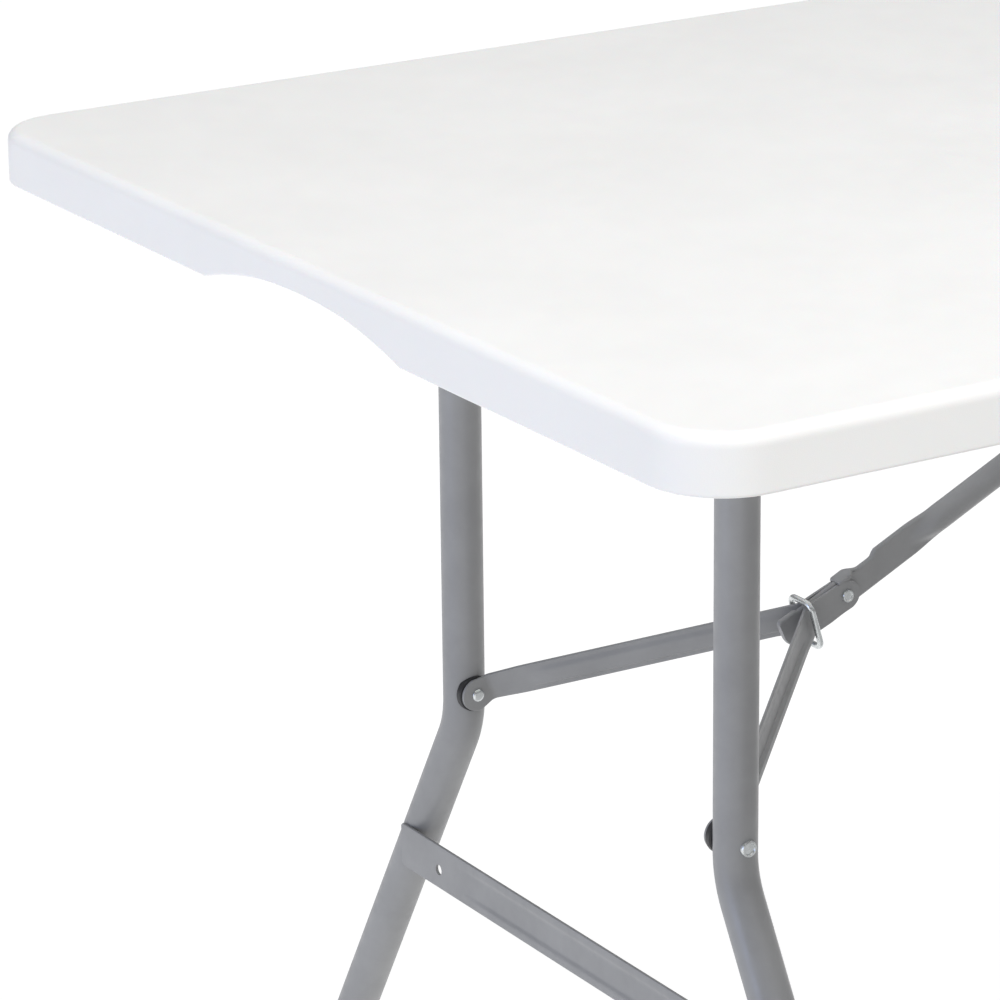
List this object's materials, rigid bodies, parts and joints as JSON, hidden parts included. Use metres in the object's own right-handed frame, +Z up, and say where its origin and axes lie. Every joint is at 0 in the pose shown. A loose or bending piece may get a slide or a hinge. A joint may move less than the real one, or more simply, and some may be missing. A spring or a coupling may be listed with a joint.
{
  "type": "folding table",
  "caption": "Long rectangular folding table: a white moulded top with skirted, rounded edges on splayed steel tube leg frames, each with a knuckle brace and a sliding lock ring.",
  "frame": {"origin": "on the floor under the middle of the table top", "axes": "+X along the length of the top, +Y across its width towards the back, +Z up"},
  "size_m": [1.83, 0.76, 0.74],
  "materials": {
    "moulded_top": "white moulded polyethylene with a fine grain",
    "painted_steel": "grey powder coat, satin",
    "zinc": "bright zinc plate",
    "black_plastic": "black moulded plastic, satin"
  },
  "bodies": {
    "top": {"table_top": "moulded_top", "side_rail_front": "painted_steel", "side_rail_back": "painted_steel", "rail_screws": "zinc", "pivot_bushes_left": "black_plastic", "brace_bracket_left": "painted_steel", "bracket_pin_left": "zinc", "bracket_screws_left": "zinc", "pivot_bushes_right": "black_plastic", "brace_bracket_right": "painted_steel", "bracket_pin_right": "zinc", "bracket_screws_right": "zinc"},
    "leg_frame_left": {"pivot_tube_left": "painted_steel", "leg_tube_front_left": "painted_steel", "leg_tube_back_left": "painted_steel", "crossbar_left": "painted_steel", "foot_cap_front_left": "black_plastic", "foot_cap_back_left": "black_plastic", "leg_rivets_left": "zinc", "brace_spacers_left": "black_plastic"},
    "upper_brace_left": {"upper_link_left": "painted_steel"},
    "lower_brace_left": {"brace_arm_front_left": "painted_steel", "brace_arm_back_left": "painted_steel", "lug_rivet_heads_left": "zinc", "knuckle_rivet_left": "zinc"},
    "ring_left": {"lock_ring_left": "zinc"},
    "leg_frame_right": {"pivot_tube_right": "painted_steel", "leg_tube_front_right": "painted_steel", "leg_tube_back_right": "painted_steel", "crossbar_right": "painted_steel", "foot_cap_front_right": "black_plastic", "foot_cap_back_right": "black_plastic", "leg_rivets_right": "zinc", "brace_spacers_right": "black_plastic"},
    "upper_brace_right": {"upper_link_right": "painted_steel"},
    "lower_brace_right": {"brace_arm_front_right": "painted_steel", "brace_arm_back_right": "painted_steel", "lug_rivet_heads_right": "zinc", "knuckle_rivet_right": "zinc"},
    "ring_right": {"lock_ring_right": "zinc"}
  },
  "joints": [
    {"name": "leg_fold_left", "type": "hinge", "parent": "top", "child": "leg_frame_left", "pos_m": [-0.715, 0, 0.714], "axis": [0, -1, 0], "range_deg": [0, 90]},
    {"name": "brace_fold_left", "type": "hinge", "parent": "top", "child": "upper_brace_left", "pos_m": [-0.07235, 0, 0.70715], "axis": [0, 1, 0], "range_deg": [0, 24.2]},
    {"name": "knuckle_fold_left", "type": "hinge", "parent": "upper_brace_left", "child": "lower_brace_left", "pos_m": [-0.553, 0, 0.482], "axis": [0, -1, 0], "range_deg": [0, 184.1]},
    {"name": "ring_slide_left", "type": "slide", "parent": "upper_brace_left", "child": "ring_left", "axis": [0.9056, 0, 0.4242], "range_m": [0, 0.4]},
    {"name": "leg_fold_right", "type": "hinge", "parent": "top", "child": "leg_frame_right", "pos_m": [0.715, 0, 0.714], "axis": [0, 1, 0], "range_deg": [0, 90]},
    {"name": "brace_fold_right", "type": "hinge", "parent": "top", "child": "upper_brace_right", "pos_m": [0.07235, 0, 0.70715], "axis": [0, -1, 0], "range_deg": [0, 24.2]},
    {"name": "knuckle_fold_right", "type": "hinge", "parent": "upper_brace_right", "child": "lower_brace_right", "pos_m": [0.553, 0, 0.482], "axis": [0, 1, 0], "range_deg": [0, 184.1]},
    {"name": "ring_slide_right", "type": "slide", "parent": "upper_brace_right", "child": "ring_right", "axis": [-0.9056, 0, 0.4242], "range_m": [0, 0.4]}
  ],
  "couplings": [
    {"joint": "brace_fold_left", "follows": "leg_fold_left", "ratio": 0.26747},
    {"joint": "knuckle_fold_left", "follows": "leg_fold_left", "ratio": 2.0445},
    {"joint": "ring_slide_left", "follows": "leg_fold_left", "m_per_rad": 0.25458},
    {"joint": "brace_fold_right", "follows": "leg_fold_right", "ratio": 0.26747},
    {"joint": "knuckle_fold_right", "follows": "leg_fold_right", "ratio": 2.0445},
    {"joint": "ring_slide_right", "follows": "leg_fold_right", "m_per_rad": 0.25458}
  ]
}
